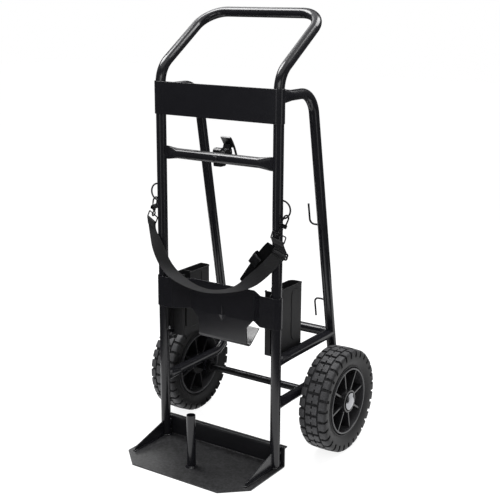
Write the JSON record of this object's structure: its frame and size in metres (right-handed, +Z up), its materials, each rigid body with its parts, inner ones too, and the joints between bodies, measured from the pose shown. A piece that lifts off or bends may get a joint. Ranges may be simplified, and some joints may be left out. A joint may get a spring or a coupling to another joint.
{
  "type": "breaker cart",
  "caption": "Upright tubular steel hand cart on rubber-tyred wheels with toe plate, tool post, dished cradle, strap, side pockets and handle latch for moving a demolition breaker.",
  "frame": {"origin": "on the ground, midway between the axes of the two uprights", "axes": "+Z up, -Y the toe-plate (front) side, +Y the wheel side, +X to the right seen from the front"},
  "size_m": [0.636, 0.5871, 1.2608],
  "materials": {
    "powder_coat": "semi-gloss black powder coat",
    "pocket_plastic": "black moulded plastic",
    "rim_plastic": "black moulded rim",
    "tyre_rubber": "black rubber",
    "bright_steel": "bright zinc plate",
    "cap_steel": "polished cap",
    "dark_steel": "black plated wire",
    "webbing": "black woven webbing",
    "buckle_plastic": "black moulded plastic",
    "latch_plastic": "black moulded plastic"
  },
  "bodies": {
    "frame": {"main_frame_tube": "powder_coat", "left_rear_loop": "powder_coat", "right_rear_loop": "powder_coat", "left_side_brace": "powder_coat", "right_side_brace": "powder_coat", "rear_cross_tube": "powder_coat", "crossbar": "powder_coat", "name_plate": "powder_coat", "cradle_plate": "powder_coat", "toe_plate": "powder_coat", "left_gusset": "powder_coat", "right_gusset": "powder_coat", "tool_post": "powder_coat", "left_pocket": "pocket_plastic", "right_pocket": "pocket_plastic", "pocket_screws": "bright_steel", "axle": "bright_steel", "left_axle_bracket": "powder_coat", "right_axle_bracket": "powder_coat", "axle_spacers": "bright_steel", "left_axle_cap": "cap_steel", "right_axle_cap": "cap_steel", "left_strap_ring": "powder_coat", "right_strap_ring": "powder_coat", "upper_cord_hook": "powder_coat", "lower_cord_hook": "powder_coat", "left_snap_hook": "dark_steel", "right_snap_hook": "dark_steel", "gate_pins": "dark_steel", "left_wire_link": "dark_steel", "right_wire_link": "dark_steel", "strap_webbing": "webbing", "strap_tail": "webbing", "strap_slider": "buckle_plastic", "tail_buckle": "dark_steel", "latch_base": "latch_plastic", "latch_pin": "bright_steel", "latch_bolt": "powder_coat"},
    "left_wheel": {"left_rim": "rim_plastic", "left_tyre": "tyre_rubber"},
    "right_wheel": {"right_rim": "rim_plastic", "right_tyre": "tyre_rubber"},
    "latch_lever": {"latch_lever": "latch_plastic"},
    "left_gate": {"left_snap_gate": "dark_steel"},
    "right_gate": {"right_snap_gate": "dark_steel"}
  },
  "joints": [
    {"name": "left_wheel_spin", "type": "hinge", "parent": "frame", "child": "left_wheel", "pos_m": [-0.2677, 0.2208, 0.1524], "axis": [1, 0, 0], "continuous": true},
    {"name": "right_wheel_spin", "type": "hinge", "parent": "frame", "child": "right_wheel", "pos_m": [0.2677, 0.2208, 0.1524], "axis": [1, 0, 0], "continuous": true},
    {"name": "latch_swing", "type": "hinge", "parent": "frame", "child": "latch_lever", "pos_m": [0, 0.038, 0.879], "axis": [-1, 0, 0], "range_deg": [0, 30], "stiffness_Nm_per_rad": 0.4},
    {"name": "left_gate_swing", "type": "hinge", "parent": "frame", "child": "left_gate", "pos_m": [-0.22538, -0.00765, 0.70247], "axis": [-0.9755, -0.018, 0.2193], "range_deg": [0, 25], "stiffness_Nm_per_rad": 0.02},
    {"name": "right_gate_swing", "type": "hinge", "parent": "frame", "child": "right_gate", "pos_m": [0.21463, -0.01563, 0.71053], "axis": [-0.9561, 0.2791, 0.0889], "range_deg": [0, 25], "stiffness_Nm_per_rad": 0.02}
  ]
}
